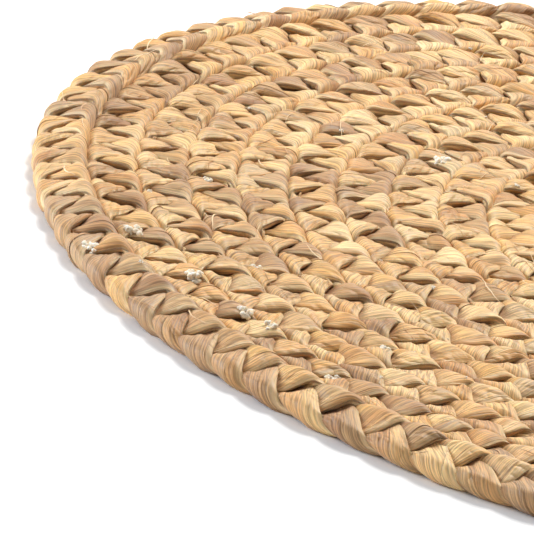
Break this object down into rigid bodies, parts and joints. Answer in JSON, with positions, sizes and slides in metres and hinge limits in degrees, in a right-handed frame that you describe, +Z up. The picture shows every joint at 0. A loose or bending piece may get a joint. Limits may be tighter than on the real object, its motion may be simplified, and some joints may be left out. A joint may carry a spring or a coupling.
{
  "type": "water hyacinth placemat",
  "caption": "Flat round placemat of plaited water hyacinth leaf: one long plait coiled from the middle outwards and sewn edge to edge.",
  "frame": {"origin": "middle of the flat underside, on the surface that the mat lies on", "axes": "+Z up out of the top face, +X and +Y in the plane of the mat; the plait winds outwards anticlockwise seen from above and its tail ends 20 degrees round from +X towards +Y"},
  "size_m": [0.3802, 0.3744, 0.008],
  "materials": {
    "plait": "dried water hyacinth leaf in straw, tan and pale golden strands, fine lengthwise fibres, satin"
  },
  "bodies": {
    "root": {"plait_coil": "plait"}
  },
  "joints": []
}
